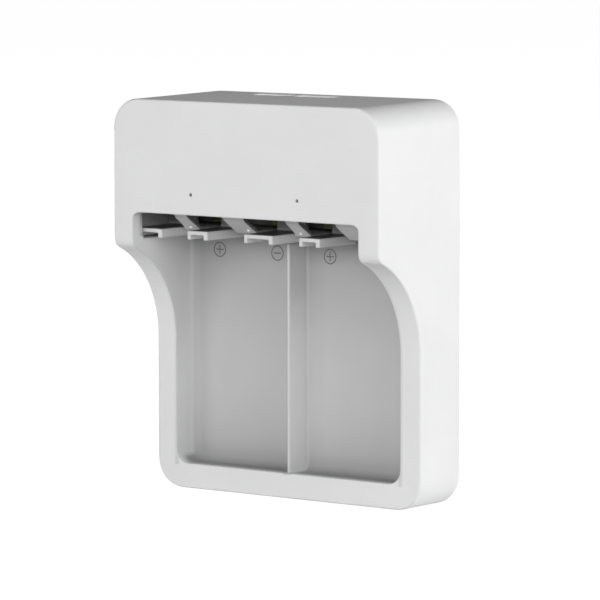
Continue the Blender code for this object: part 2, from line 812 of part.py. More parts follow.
def terminal_tab(name, x, metal):
    """Fixed sheet metal tab on the main board that the spring pushes against."""
    bottom = spring_top() + GAP
    top = bottom + TAB_THICKNESS
    front = RAIL_BACK_DEPTH - SEAT_LENGTH
    back = board_front() - GAP
    outline = [
        (front, bottom),
        (back - TAB_THICKNESS, bottom),
        (back - TAB_THICKNESS, top - TAB_LEG),
        (back, top - TAB_LEG),
        (back, top),
        (front, top),
    ]
    middle = x + (LEFT_LEG - RIGHT_LEG) / 2
    form = side_prism(outline, middle - TAB_WIDTH / 2, middle + TAB_WIDTH / 2)
    tab = make_object(f"{name}_terminal", form, metal)
    dimple = plan_prism(
        disc(middle, spring_depth(), DIMPLE_RADIUS, DIMPLE_FACETS),
        bottom - DIMPLE_HEIGHT,
        bottom + TAB_THICKNESS / 2,
    )
    join(tab, make_object(f"{name}_upper_dimple", dimple, metal))


def rail_guide(material):
    """Bar across the head with a slot for each upright and legs that stand on the ceiling."""
    top = SEAT_HEIGHT - SEAT_THICKNESS - GAP
    bottom = top - GUIDE_HEIGHT
    places = rails()
    left = places[0][1] - places[0][2] / 2
    right = places[-1][1] + places[-1][2] / 2 + GUIDE_END + GAP
    front, back = RAIL_BACK_DEPTH - GUIDE_FRONT_REACH, RAIL_BACK_DEPTH + GUIDE_BACK_REACH
    bar = plan_prism(rectangle(left, right, front, back), bottom, top)
    guide = make_object("rail_guide", bar, material)
    ceiling = CEILING_HEIGHT + CEILING_THICKNESS + GAP
    ends = [x - width / 2 - GUIDE_LEG_GAP for name, x, width in places[1:]] + [right]
    for (name, x, width), end in zip(places, ends):
        leg = plan_prism(rectangle(x, end, back - GUIDE_LEG_DEPTH, back), ceiling, bottom + OVERCUT)
        join(guide, make_object(f"{name}_guide_leg", leg, material))
    slot_front = RAIL_BACK_DEPTH - UPRIGHT_THICKNESS - GAP
    slot_back = RAIL_BACK_DEPTH + GAP + STRIP_THICKNESS + GAP
    for name, x, width in places:
        slot_left = x - width / 2 - GAP
        if name == places[0][0]:
            slot_left -= OVERCUT
        outline = rectangle(slot_left, x + width / 2 + GAP, slot_front, slot_back)
        form = plan_prism(outline, bottom - OVERCUT, top + OVERCUT)
        cut(guide, make_object(f"{name}_slot_cutter", form, material))


# Boards and electronics


def circuit_board(material):
    half, neck = WIDTH / 2 - BOARD_INSET, SCREW_X - BOSS_RADIUS - BOARD_NECK_CLEARANCE
    top = HEAD_HEIGHT - WALL - GAP
    outline = [
        (-half, BOARD_BOTTOM),
        (half, BOARD_BOTTOM),
        (half, BOARD_SHOULDER),
        (neck, BOARD_SHOULDER),
        (neck, top),
        (-neck, top),
        (-neck, BOARD_SHOULDER),
        (-half, BOARD_SHOULDER),
    ]
    form = front_prism(outline, board_front(), board_front() + BOARD_THICKNESS)
    return make_object("circuit_board", form, material)


def led_board_depth():
    return LED_FACE + GAP + PIPE_LENGTH + GAP + LED_THICKNESS + GAP


def light_parts(board_material, led_material, pipe_material, ribbon_material):
    """Small board behind the head's face with two lights, their pipes and the ribbon to the main board."""
    front = led_board_depth()
    back = front + BOARD_THICKNESS
    low = LED_HEIGHT - LED_BOARD_HEIGHT / 2
    end = LED_X + LED_BOARD_END
    outline = rectangle(-end, end, low, low + LED_BOARD_HEIGHT)
    make_object("light_board", front_prism(outline, front, back), board_material)
    for side, sign in SIDES.items():
        x = sign * LED_X
        pipe_front = LED_FACE + GAP
        pipe_back = pipe_front + PIPE_LENGTH
        rod(f"{side}_light_pipe", x, LED_HEIGHT, PIPE_RADIUS, pipe_front, pipe_back, pipe_material)
        half = LED_SIZE / 2
        led = rounded_rectangle(x - half, x + half, LED_HEIGHT - half, LED_HEIGHT + half, LED_CORNER, 2)
        led_front = pipe_back + GAP
        make_object(f"{side}_light", front_prism(led, led_front, led_front + LED_THICKNESS), led_material)
    ribbon_front = back + GAP
    ribbon_back = board_front() - GAP
    outline = [
        (ribbon_front, low),
        (ribbon_front + RIBBON_THICKNESS, low),
        (ribbon_front + RIBBON_THICKNESS, RIBBON_HEIGHT),
        (ribbon_back, RIBBON_HEIGHT),
        (ribbon_back, RIBBON_HEIGHT + RIBBON_THICKNESS),
        (ribbon_front, RIBBON_HEIGHT + RIBBON_THICKNESS),
    ]
    left = LED_X - RIBBON_WIDTH / 2
    make_object("light_ribbon", side_prism(outline, left, left + RIBBON_WIDTH), ribbon_material)


def stadium(x, width, height):
    """Outline with round ends, centred on the sockets' depth."""
    front = port_depth() - height / 2
    radius = height / 2 - TYPE_C_SIDE
    return rounded_rectangle(x - width / 2, x + width / 2, front, front + height, radius, SMALL_STEPS + 1)


def micro_outline(x, width, height, taper, shoulder):
    """Outline of a micro socket, narrower on its front side, with its back on the board."""
    back = board_front() - GAP - (MICRO_HEIGHT - height) / 2
    front = back - height
    middle = back - shoulder
    half = width / 2
    return [
        (x - half + taper, front),
        (x + half - taper, front),
        (x + half, middle),
        (x + half, back),
        (x - half, back),
        (x - half, middle),
    ]


def socket(name, outer, inner, length, shell_material):
    """Metal shell, open at the top and closed below."""
    top = HEAD_HEIGHT - WALL - GAP
    shell = make_object(f"{name}_shell", plan_prism(outer, top - length, top), shell_material)
    inside = plan_prism(inner, top - length + SHELL_WALL, top + OVERCUT)
    return cut(shell, make_object(f"{name}_shell_cutter", inside, shell_material))


def tongue(name, x, depth, width, base_height, length, material):
    """Insulated tongue that stands on its base inside a shell."""
    top = HEAD_HEIGHT - WALL - GAP
    bottom = top - length + SHELL_WALL + GAP
    half = TONGUE_THICKNESS / 2
    base = rectangle(x - width / 2, x + width / 2, depth - base_height / 2, depth + base_height / 2)
    piece = make_object(f"{name}_tongue", plan_prism(base, bottom, bottom + TONGUE_BASE), material)
    blade = rectangle(x - width / 2, x + width / 2, depth - half, depth + half)
    form = plan_prism(blade, bottom + TONGUE_BASE / 2, top - TONGUE_SETBACK)
    return join(piece, make_object(f"{name}_blade", form, material))


def sockets(metal, plastic):
    inset = 2 * SHELL_WALL
    socket(
        "usb_c",
        stadium(TYPE_C_X, TYPE_C_WIDTH, TYPE_C_HEIGHT),
        stadium(TYPE_C_X, TYPE_C_WIDTH - inset, TYPE_C_HEIGHT - inset),
        TYPE_C_LENGTH,
        metal,
    )
    socket(
        "micro_usb",
        micro_outline(MICRO_X, MICRO_WIDTH, MICRO_HEIGHT, MICRO_TAPER, MICRO_SHOULDER),
        micro_outline(
            MICRO_X,
            MICRO_WIDTH - inset,
            MICRO_HEIGHT - inset,
            MICRO_TAPER - SHELL_WALL / 2,
            MICRO_SHOULDER - SHELL_WALL,
        ),
        MICRO_LENGTH,
        metal,
    )
    room = inset + 2 * GAP
    width = TYPE_C_WIDTH - room - TYPE_C_HEIGHT / 2
    tongue("usb_c", TYPE_C_X, port_depth(), width, TYPE_C_HEIGHT - room, TYPE_C_LENGTH, plastic)
    depth = board_front() - GAP - MICRO_HEIGHT / 2
    width = MICRO_WIDTH - room - 2 * MICRO_TAPER
    tongue("micro_usb", MICRO_X, depth, width, MICRO_HEIGHT - room, MICRO_LENGTH, plastic)


def charge_chips(material):
    """Charge controllers behind the bays, each with two rows of legs."""
    width, thickness, height = CHIP_SIZE
    back = board_front() - GAP
    leg_pitch = height / CHIP_LEGS
    for side, sign in SIDES.items():
        x = sign * (BAY_PITCH / 2 - CHIP_INSET)
        low = sum(board_post_heights()) / 2 - height / 2
        outline = rectangle(x - width / 2, x + width / 2, low, low + height)
        chip = make_object(f"{side}_charge_chip", front_prism(outline, back - thickness, back), material)
        for index in range(CHIP_LEGS):
            middle = low + (index + 0.5) * leg_pitch
            reach = width / 2 + CHIP_LEG_REACH
            half = CHIP_LEG_WIDTH / 2
            outline = rectangle(x - reach, x + reach, middle - half, middle + half)
            form = front_prism(outline, back - thickness / 2, back - thickness / 4)
            join(chip, make_object(f"{side}_chip_leg_{index}", form, material))


def power_parts(core_material, can_material):
    """Inductors beside the plus terminals and can capacitors beside the minus ones."""
    back = at_depth(board_front() - GAP)
    waist = (CAPACITOR_WAIST, -CAPACITOR_GROOVE)
    drum = [
        (0, 0),
        (INDUCTOR_RADIUS, 0),
        (INDUCTOR_RADIUS, -INDUCTOR_RIM),
        (INDUCTOR_WAIST, -INDUCTOR_RIM),
        (INDUCTOR_WAIST, INDUCTOR_RIM - INDUCTOR_LENGTH),
        (INDUCTOR_RADIUS, INDUCTOR_RIM - INDUCTOR_LENGTH),
        (INDUCTOR_RADIUS, -INDUCTOR_LENGTH),
        (0, -INDUCTOR_LENGTH),
    ]
    can = [
        (0, 0),
        (CAPACITOR_RADIUS, 0),
        (CAPACITOR_RADIUS, CAPACITOR_EDGE - CAPACITOR_GROOVE),
        waist,
        (CAPACITOR_RADIUS, -CAPACITOR_GROOVE - CAPACITOR_EDGE),
        (CAPACITOR_RADIUS, CAPACITOR_EDGE - CAPACITOR_LENGTH),
        (CAPACITOR_WAIST, -CAPACITOR_LENGTH),
        (0, -CAPACITOR_LENGTH),
    ]
    height = LIP_HEIGHT + POWER_RISE
    for name, x, width in rails():
        side, pole = name.split("_")
        if pole == "plus":
            part = make_object(f"{side}_inductor", turned(drum), core_material)
            part.location = (x + INDUCTOR_OFFSET, back, height)
        else:
            part = make_object(f"{side}_capacitor", turned(can), can_material)
            part.location = (x + CAPACITOR_OFFSET, back, height)


def base_weight(material):
    """Steel bar between the lower screw bosses, behind the foot of the bays."""
    half = SCREW_X - BOSS_RADIUS - WEIGHT_CLEARANCE
    low = WALL + GAP
    outline = rounded_rectangle(-half, half, low, low + WEIGHT_HEIGHT, WEIGHT_CORNER)
    front = FLOOR_DEPTH + INNER_WALL + GAP
    make_object("base_weight", front_prism(outline, front, front + WEIGHT_THICKNESS), material)


def build():
    clear_scene()
    white = make_material("white_plastic", (0.82, 0.82, 0.82), 0.35)
    dark = make_material("dark_plastic", (0.03, 0.03, 0.03), 0.5)
    steel = make_material("spring_steel", (0.6, 0.6, 0.6), 0.3, 1.0)
    nickel = make_material("nickel_strip", (0.65, 0.63, 0.58), 0.28, 1.0)
    green = make_material("board_green", (0.03, 0.09, 0.02), 0.4)
    amber = make_material("light_emitter", (0.85, 0.8, 0.5), 0.3)
    clear = make_material("clear_plastic", (0.9, 0.9, 0.9), 0.1)
    grey = make_material("ribbon_grey", (0.5, 0.5, 0.5), 0.6)
    ferrite = make_material("ferrite", (0.05, 0.05, 0.05), 0.7)
    aluminium = make_material("aluminium_can", (0.7, 0.7, 0.72), 0.35, 1.0)
    front_housing(white)
    rear_cover(white)
    cover_screws(steel)
    rail_guide(dark)
    base_weight(steel)
    for name, x, width in rails():
        contact_rail(name, x, width, white)
        contact_strip(name, x, width, nickel)
        rail_spring(name, x, steel)
        terminal_tab(name, x, nickel)
    circuit_board(green)
    light_parts(green, amber, clear, grey)
    sockets(steel, dark)
    charge_chips(dark)
    power_parts(ferrite, aluminium)


build()
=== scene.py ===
import math

import bmesh
import bpy
from mathutils import Matrix, Vector


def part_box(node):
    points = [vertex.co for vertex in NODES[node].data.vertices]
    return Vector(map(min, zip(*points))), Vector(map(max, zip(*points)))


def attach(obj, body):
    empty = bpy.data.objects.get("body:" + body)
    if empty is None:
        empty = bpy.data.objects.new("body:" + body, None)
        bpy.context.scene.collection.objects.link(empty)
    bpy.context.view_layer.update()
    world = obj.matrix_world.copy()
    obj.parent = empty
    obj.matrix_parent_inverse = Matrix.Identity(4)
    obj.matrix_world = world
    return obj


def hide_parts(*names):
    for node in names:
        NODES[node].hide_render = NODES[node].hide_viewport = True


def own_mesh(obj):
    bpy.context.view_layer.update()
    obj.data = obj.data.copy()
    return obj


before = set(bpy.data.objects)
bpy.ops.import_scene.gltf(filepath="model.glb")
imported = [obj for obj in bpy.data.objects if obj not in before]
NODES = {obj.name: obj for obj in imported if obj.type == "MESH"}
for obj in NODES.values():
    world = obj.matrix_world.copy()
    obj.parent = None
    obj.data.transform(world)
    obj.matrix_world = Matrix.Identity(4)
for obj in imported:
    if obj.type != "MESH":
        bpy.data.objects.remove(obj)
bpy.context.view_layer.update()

# All lengths are in metres
BODY = "charger_body"
FRONT_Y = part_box("front_housing")[0].y

# Camera: one long lens, turned to the object's right and a little above it
CAMERA_AZIMUTH = 37.0
CAMERA_ELEVATION = 5.708
CAMERA_ROLL = -0.055
CAMERA_DISTANCE = 0.904533
CAMERA_TARGET = Vector((0.003894, -0.00035, 0.040542))
CAMERA_CLIP = 0.01
SENSOR = 36.0
LENS = 270.92

# Softboxes as (name, azimuth, elevation, height, power, seen in gloss), and the studio's whites
LAMPS = (
    ("front_softbox", 0, 15, 0.3, 10.9, True),
    ("side_softbox", 100, 15, 0.3, 14.7, True),
    ("rear_softbox", -135, 2, 0.2, 7.5, False),
)
LAMP_DISTANCE = 1.2
LAMP_WIDTH = 2.2
LAMP_TARGET = Vector((0, 0, 0.04))
SKY_LIGHT = 0.1
STUDIO_REACH = 8.0
PAPER = 0.86
PAPER_GLOW = 1.45
PAPER_GLOW_SHARE = 0.66

# Polarity marks, printed on the bay floor
FLOOR_Y = FRONT_Y + 0.0202
BAY_CENTRE = 0.01405
MARK_HEIGHT = 0.04892
MARK_OFFSET = 0.0074
MARK_SHIFT = -0.00022
MARK_OUTER = 0.00158
MARK_STROKE = 0.00024
MARK_RELIEF = 0.00002
MARK_STEPS = 72
SIGN_REACH = 0.00095
SIGN_STEPS = 8

# Pips on the three strips between the windows: moulded domes, in a whiter white that is a painted highlight
PIP_PLACES = (-0.0203, -0.0056, 0.0076)
PIP_DEPTH = 0.009
PIP_BELOW = 0.045
PIP_RADIUS = 0.00036
PIP_FLATNESS = 0.7
PIP_STEPS = (20, 10)

# Contact strips, as they run under a rail, up its back and over its seat
STRIP_THICKNESS = 0.00025
STRIP_FRONT = 0.0096
STRIP_SEAT = 0.0122
STRIP_BEND = 0.0004
STRIP_BEND_STEPS = 6
STRIP_FLAT_AREA = 4e-7
DIMPLE_RADIUS = 0.0009
DIMPLE_DEPTH = 0.0141
DIMPLE_RISE = 0.0006
DIMPLE_STEPS = 24
DIMPLE_SHARES = (0.0, 0.25, 0.5, 0.72, 0.88, 0.97)

# Sense boards under the guide bar, beside three of the rails
GUIDE_BAR = 0.0035
SENSE_REACH = 0.0038
SENSE_WIDTH = 0.0046
SENSE_DEPTH = 0.0172
SENSE_THICKNESS = 0.0006
SENSE_LIFT = 0.0001
SENSE_CORNER = 0.0003
SENSE_NOTCH = 0.0004
SENSE_NOTCH_STEPS = 8

# Round shading of the mouldings
WELD = 0.000001
SHARP_ANGLE = math.radians(34)
FLAT_FACE_WEIGHT = 90

# Screws: rings as (radius, back from the head's top), recess as (reach, stroke, back)
SCREW_STEPS = 48
SCREW_PROFILE = ((0.0019, 0), (0.00225, 0.0001), (0.0024, 0.00027), (0.0024, 0.0008),
                 (0.0011, 0.0008), (0.0011, 0.005), (0.00055, 0.0061))
SCREW_CROSS = ((0.00118, 0.00052, 0), (0.0007, 0.00036, 0.0006))

# Springs, with the share of the wire that lies in each closed end
SPRING_RADIUS = 0.00145
SPRING_WIRE = 0.00019
SPRING_TURNS = 6.5
SPRING_STEPS = 40
SPRING_SIDES = 10
SPRING_CLOSED = 0.14

# Painted shade in the bays: its limits, and its tone by height
BAY_SIDE = 0.0284
BAY_TOP = 0.0585
BAY_FOOT = 0.0049
BAY_BLEND = 0.0006
BAY_SHADE_TONES = (
    (0.0045, 0.34), (0.0072, 0.52), (0.0098, 0.6), (0.014, 0.65), (0.019, 0.68), (0.024, 0.69),
    (0.032, 0.65), (0.038, 0.6), (0.043, 0.56), (0.048, 0.5), (0.0555, 0.44),
)

# Where the painted shade starts and is full, back from the front: floor, walls and their roots
BAY_SHADE_START = 0.0142
BAY_SHADE_END = 0.0168
WALL_START = 0.004
WALL_END = 0.0165
WALL_SHARE = 0.36
ROOT_START = 0.0178
ROOT_END = 0.0202
BAY_WALL = 0.02805
FILLET_BLEND = 0.0006

# Painted shade is lifted a little at the divider's root and on the floor beside it
DIVIDER_SIDE = 0.0008
DIVIDER_REACH = 0.0044
DIVIDER_SHADE_LIFT = 1.14
DIVIDER_ROOT = 0.5

# Painted shade, from ambient occlusion, in deep hollows inside the head
HEAD_FLOOR = 0.0543
HOLLOW_REACH = 0.03
HOLLOW_RANGE = (0.03, 0.4)
HOLLOW_SHADE_TONE = 0.5
HOLLOW_SAMPLES = 12

# Painted shade on the slanted ceiling between the windows, darker on the sides of its windows
SLANT_LOW = 0.0528
SLANT_HIGH = 0.0592
SLANT_START = 0.0026
SLANT_END = 0.0062
SLANT_SHADE_TONE = 0.76
SLANT_SIDE_SHADE_TONE = 0.3
SIDEWAYS = (0.5, 0.9)

# Painted shade on the tops and uprights of the rails
RAIL_TOP = 0.0542
UPRIGHT_SHADE_TONE = 0.6
TOP_SHADE_TONE = 0.13
UPWARDS = (0.6, 0.95)

# Whites of the mouldings
SHADE_BLACK = (0, 0, 0)
PALE = (0.79, 0.791, 0.794)
BRIGHT = (0.825, 0.826, 0.829)
SATIN = (0.42, 0.54)
SATIN_SPECULAR = 0.35


class Tree:
    """Node tree of a new material, with the few nodes that the looks share."""

    def __init__(self, name):
        self.material = bpy.data.materials.new(name)
        self.material.use_nodes = True
        self.nodes = self.material.node_tree.nodes
        self.links = self.material.node_tree.links
        self.nodes.clear()

    def node(self, kind, **settings):
        """New node, with its properties and input values set by name."""
        node = self.nodes.new(kind)
        for key, value in settings.items():
            if hasattr(node, key):
                setattr(node, key, value)
            else:
                node.inputs[key.replace("_", " ")].default_value = value
        return node

    def link(self, source, node, name):
        self.links.new(source, node.inputs[name])

    def place(self):
        return self.node("ShaderNodeTexCoord").outputs["Object"]

    def axes(self, vector):
        split = self.node("ShaderNodeSeparateXYZ")
        self.link(vector, split, 0)
        return split.outputs

    def facing(self):
        return self.axes(self.node("ShaderNodeNewGeometry").outputs["Normal"])

    def noise(self, place, scale, detail=3.0, roughness=0.5):
        texture = self.node("ShaderNodeTexNoise", Scale=scale, Detail=detail, Roughness=roughness)
        self.link(place, texture, "Vector")
        return texture.outputs["Fac"]

    def ranged(self, source, low, high, start=0.3, end=0.7):
        """Source between start and end, as a value between low and high."""
        node = self.node("ShaderNodeMapRange", From_Min=start, From_Max=end, To_Min=low, To_Max=high)
        self.link(source, node, "Value")
        return node.outputs["Result"]

    def eased(self, source, start, end):
        """Source between start and end, as a soft step from 0 to 1."""
        node = self.node("ShaderNodeMapRange", interpolation_type="SMOOTHSTEP",
                         From_Min=start, From_Max=end)
        self.link(source, node, "Value")
        return node.outputs["Result"]

    def calculated(self, operation, *sources):
        node = self.node("ShaderNodeMath", operation=operation)
        for index, source in enumerate(sources):
            self.link(source, node, index)
        return node.outputs[0]

    def product(self, first, *others):
        for other in others:
            first = self.calculated("MULTIPLY", first, other)
        return first

    def blend(self, factor, first, second):
        """Number between two, each given as a value or a source."""
        node = self.node("ShaderNodeMix")
        for index, value in ((0, factor), (2, first), (3, second)):
            if isinstance(value, (int, float)):
                node.inputs[index].default_value = value
            else:
                self.link(value, node, index)
        return node.outputs[0]

    def mixed(self, factor, first, second):
        """Colour between two, each given as a value or a source."""
        node = self.node("ShaderNodeMix", data_type="RGBA")
        self.link(factor, node, "Factor")
        for index, value in ((6, first), (7, second)):
            if isinstance(value, tuple):
                node.inputs[index].default_value = (*value, 1)
            else:
                self.link(value, node, index)
        return node.outputs[2]

    def bump(self, height, strength, distance):
        node = self.node("ShaderNodeBump", Strength=strength, Distance=distance)
        self.link(height, node, "Height")
        return node

    def finished(self, shader):
        self.link(shader.outputs[0], self.node("ShaderNodeOutputMaterial"), "Surface")
        return self.material


def shade_by_height(tree, height):
    """Tone of the painted shade in the bays, from the foot of the bays to the head."""
    ramp = tree.node("ShaderNodeValToRGB")
    ramp.color_ramp.interpolation = "B_SPLINE"
    stops = ramp.color_ramp.elements
    while len(stops) < len(BAY_SHADE_TONES):
        stops.new(1.0)
    for stop, (level, tone) in zip(stops, BAY_SHADE_TONES):
        stop.position = level / BAY_TOP
        stop.color = (tone, tone, tone, 1)
    tree.link(tree.ranged(height, 0, 1, 0, BAY_TOP), ramp, "Fac")
    return ramp.outputs["Color"]


def bay_shade_share(tree, side, depth):
    """Share of the painted shade by depth: full on the floor, less on the walls and the divider."""
    floor = tree.eased(depth, FRONT_Y + BAY_SHADE_START, FRONT_Y + BAY_SHADE_END)
    wall = tree.eased(depth, FRONT_Y + WALL_START, FRONT_Y + WALL_END)
    root = tree.product(tree.ranged(side, DIVIDER_ROOT, 1, DIVIDER_REACH, BAY_CENTRE),
                        tree.eased(depth, FRONT_Y + ROOT_START, FRONT_Y + ROOT_END))
    upright = tree.calculated("MAXIMUM", tree.ranged(wall, 0, WALL_SHARE, 0, 1), root)
    by_wall = tree.ranged(side, 0, 1, BAY_WALL - FILLET_BLEND, BAY_WALL)
    by_divider = tree.ranged(side, 1, 0, DIVIDER_SIDE, DIVIDER_SIDE + FILLET_BLEND)
    return tree.blend(tree.calculated("MAXIMUM", by_wall, by_divider), floor, upright)


def painted_bay_shade(tree, place):
    """Share of the colour kept under the painted shade of the bays, the slanted ceiling and the head's
    inside.
    """
    x, depth, height = tree.axes(place)
    side = tree.calculated("ABSOLUTE", x)

    between = tree.ranged(side, 1, 0, BAY_SIDE, BAY_SIDE + BAY_BLEND)
    below = tree.ranged(height, 1, 0, BAY_TOP, BAY_TOP + BAY_BLEND)
    above = tree.ranged(height, 0, 1, BAY_FOOT - BAY_BLEND / 2, BAY_FOOT)
    inside = tree.product(between, below, above, bay_shade_share(tree, side, depth))

    off_divider = tree.ranged(side, 0, 1, DIVIDER_SIDE, DIVIDER_SIDE + FILLET_BLEND)
    near_divider = tree.ranged(side, 1, 0, DIVIDER_SIDE + FILLET_BLEND, DIVIDER_REACH)
    lift = tree.ranged(tree.product(off_divider, near_divider), 1, DIVIDER_SHADE_LIFT, 0, 1)
    # Painted shade: the bays darken by height and depth
    bay_shade = tree.blend(inside, 1, tree.product(shade_by_height(tree, height), lift))

    over_slant = tree.ranged(height, 0, 1, SLANT_LOW, SLANT_LOW + BAY_BLEND)
    under_slant = tree.ranged(height, 1, 0, SLANT_HIGH, SLANT_HIGH + BAY_BLEND)
    behind = tree.eased(depth, FRONT_Y + SLANT_START, FRONT_Y + SLANT_END)
    on_slant = tree.product(over_slant, under_slant, behind, between)
    slant_shade = tree.blend(on_slant, 1, tree.ranged(tree.facing()["X"], SLANT_SHADE_TONE, SLANT_SIDE_SHADE_TONE, *SIDEWAYS))

    hollow = tree.node("ShaderNodeAmbientOcclusion", samples=HOLLOW_SAMPLES, only_local=True,
                       Distance=HOLLOW_REACH)
    in_head = tree.ranged(height, 0, 1, HEAD_FLOOR, HEAD_FLOOR + BAY_BLEND)
    shade = tree.blend(in_head, 1, tree.ranged(hollow.outputs["AO"], HOLLOW_SHADE_TONE, 1, *HOLLOW_RANGE))
    return tree.product(bay_shade, slant_shade, shade)


def painted_rail_shade(tree, place):
    """Share of the colour that a rail keeps under painted shade on its top and up its back."""
    height = tree.axes(place)["Z"]
    upright = tree.ranged(height, 1, UPRIGHT_SHADE_TONE, RAIL_TOP, RAIL_TOP + BAY_BLEND)
    return tree.product(upright, tree.ranged(tree.facing()["Z"], 1, TOP_SHADE_TONE, *UPWARDS))


def moulded(name, dark, light, rough=(0.36, 0.46), grain=0.12, edge=0.00022, specular=0.5, tone=None):
    """Satin injection-moulded plastic: spark-eroded grain, faint flow marks and softened corners."""
    tree = Tree(name)
    place = tree.place()
    shader = tree.node("ShaderNodeBsdfPrincipled", Specular_IOR_Level=specular)
    flow = tree.noise(place, 60.0, 4.0, 0.6)
    colour = tree.mixed(tree.ranged(flow, 0, 1), dark, light)
    # A given tone darkens the colour towards black: painted shade
    if tone is not None:
        colour = tree.mixed(tone(tree, place), SHADE_BLACK, colour)
    tree.link(colour, shader, "Base Color")
    fine = tree.noise(place, 7000.0, 2.0)
    tree.link(tree.ranged(fine, *rough), shader, "Roughness")
    corner = tree.node("ShaderNodeBevel", samples=6, Radius=edge)
    bump = tree.bump(fine, grain, 0.00002)
    tree.link(corner.outputs["Normal"], bump, "Normal")
    tree.link(bump.outputs["Normal"], shader, "Normal")
    return tree.finished(shader)


def metal(name, dark, light, rough, stretch=(1, 1, 1), grain=0.08):
    """Rolled or plated metal with faint drawing lines along one axis."""
    tree = Tree(name)
    place = tree.place()
    lines = tree.node("ShaderNodeMapping", Scale=stretch)
    tree.link(place, lines, "Vector")
    drawn = tree.noise(lines.outputs["Vector"], 5000.0)
    stain = tree.ranged(tree.noise(place, 700.0), 0, 1)
    shader = tree.node("ShaderNodeBsdfPrincipled", Metallic=1)
    tree.link(tree.mixed(stain, dark, light), shader, "Base Color")
    tree.link(tree.ranged(drawn, *rough), shader, "Roughness")
    tree.link(tree.bump(drawn, grain, 0.00001).outputs["Normal"], shader, "Normal")
    return tree.finished(shader)


def board_material(name):
    """Green solder mask over copper tracks that stand a little proud."""
    tree = Tree(name)
    place = tree.place()
    cells = tree.node("ShaderNodeTexVoronoi", distance="MANHATTAN", feature="DISTANCE_TO_EDGE",
                      Scale=420.0, Randomness=0.7)
    tree.link(place, cells, "Vector")
    track = tree.ranged(cells.outputs["Distance"], 1, 0, 0.06, 0.1)
    patch = tree.ranged(tree.noise(place, 160.0, 2.0), 0, 1)
    ground = tree.mixed(patch, (0.11, 0.15, 0.02), (0.16, 0.21, 0.03))
    shader = tree.node("ShaderNodeBsdfPrincipled", Roughness=0.32)
    tree.link(tree.mixed(track, ground, (0.24, 0.3, 0.05)), shader, "Base Color")
    tree.link(tree.bump(track, 0.4, 0.00003).outputs["Normal"], shader, "Normal")
    return tree.finished(shader)


def lens_material(name):
    """Smoked clear plastic with a faint moulded ripple."""
    tree = Tree(name)
    ripple = tree.noise(tree.place(), 2500.0, 2.0)
    shader = tree.node("ShaderNodeBsdfPrincipled", Transmission_Weight=0.85)
    tree.link(tree.mixed(ripple, (0.12, 0.12, 0.12), (0.2, 0.2, 0.2)), shader, "Base Color")
    tree.link(tree.ranged(ripple, 0.1, 0.22), shader, "Roughness")
    return tree.finished(shader)


WHITE = moulded("white_moulding", PALE, BRIGHT, SATIN, specular=SATIN_SPECULAR)
HOUSING_WHITE = moulded("white_housing", PALE, BRIGHT, SATIN, edge=0.0005,
                        specular=SATIN_SPECULAR, tone=painted_bay_shade)
# The rails' white is darker than the housing's: painted shade, as the rails sit under the head
RAIL_SHADED_WHITE = moulded("white_rail_painted_shade", (0.66, 0.661, 0.663), (0.7, 0.701, 0.703), edge=0.00025, tone=painted_rail_shade)
# The guide's dark grey is painted shade, standing for the dark inside of the head
GUIDE_SHADE_GREY = moulded("guide_painted_shade", (0.14, 0.14, 0.143), (0.18, 0.18, 0.183), (0.4, 0.55), edge=0.0001)
BLACK = moulded("black_moulding", (0.02, 0.02, 0.021), (0.03, 0.03, 0.031), (0.35, 0.5), edge=0.0001)
GREY = moulded("grey_moulding", (0.2, 0.2, 0.21), (0.26, 0.26, 0.27), (0.4, 0.55), edge=0.0001)
# The pips' white is brighter than the housing's: a painted highlight on glossy domes
PIP_HIGHLIGHT_WHITE = moulded("pip_white", (0.93, 0.93, 0.93), (0.96, 0.96, 0.96), (0.12, 0.2), 0.05, 0.00005, 0.8)
INK = moulded("grey_ink", (0.14, 0.14, 0.145), (0.2, 0.2, 0.205), (0.5, 0.65), 0.2, 0.00002, 0.3)
NICKEL = metal("nickel_plate", (0.6, 0.58, 0.54), (0.72, 0.7, 0.66), (0.2, 0.34), (1, 0.08, 1))
STEEL = metal("drawn_steel", (0.5, 0.5, 0.51), (0.62, 0.62, 0.63), (0.24, 0.38), (1, 1, 0.2))
ZINC = metal("zinc_plate", (0.5, 0.5, 0.51), (0.58, 0.58, 0.59), (0.3, 0.4), grain=0.03)
CAN = metal("capacitor_can", (0.66, 0.66, 0.67), (0.76, 0.76, 0.77), (0.26, 0.4), (1, 1, 0.1))
BOARD = board_material("green_board")
LENS_PLASTIC = lens_material("smoked_lens")

SLOT_LOOKS = {
    "white_plastic": WHITE, "dark_plastic": BLACK, "spring_steel": STEEL, "nickel": NICKEL,
    "board": BOARD, "clear_plastic": LENS_PLASTIC, "grey_plastic": GREY, "aluminium": CAN,
}
NODE_LOOKS = {"front_housing": HOUSING_WHITE, "rail_guide": GUIDE_SHADE_GREY}


def dress_nodes():
    """Each node takes the finished material of its slot, or its own."""
    for name, node in NODES.items():
        for slot in node.material_slots:
            key = slot.material.name.split(".")[0] if slot.material else "white_plastic"
            look = RAIL_SHADED_WHITE if name.endswith("_rail") else SLOT_LOOKS.get(key, WHITE)
            slot.material = NODE_LOOKS.get(name, look)
        if not node.material_slots:
            node.data.materials.append(WHITE)


# Geometry

def linked(name, data):
    """New object in the scene."""
    obj = bpy.data.objects.new(name, data)
    bpy.context.scene.collection.objects.link(obj)
    return obj


def piece_from(name, form, material, smooth=True):
    mesh = bpy.data.meshes.new(name)
    bmesh.ops.recalc_face_normals(form, faces=form.faces)
    form.to_mesh(mesh)
    form.free()
    mesh.materials.append(material)
    for face in mesh.polygons:
        face.use_smooth = smooth
    return linked(name, mesh)


def skin(form, rings):
    """Faces between closed rings of corners, each joined to the next."""
    for a, b in zip(rings, rings[1:]):
        for k in range(len(a)):
            m = (k + 1) % len(a)
            form.faces.new((a[k], a[m], b[m], b[k]))


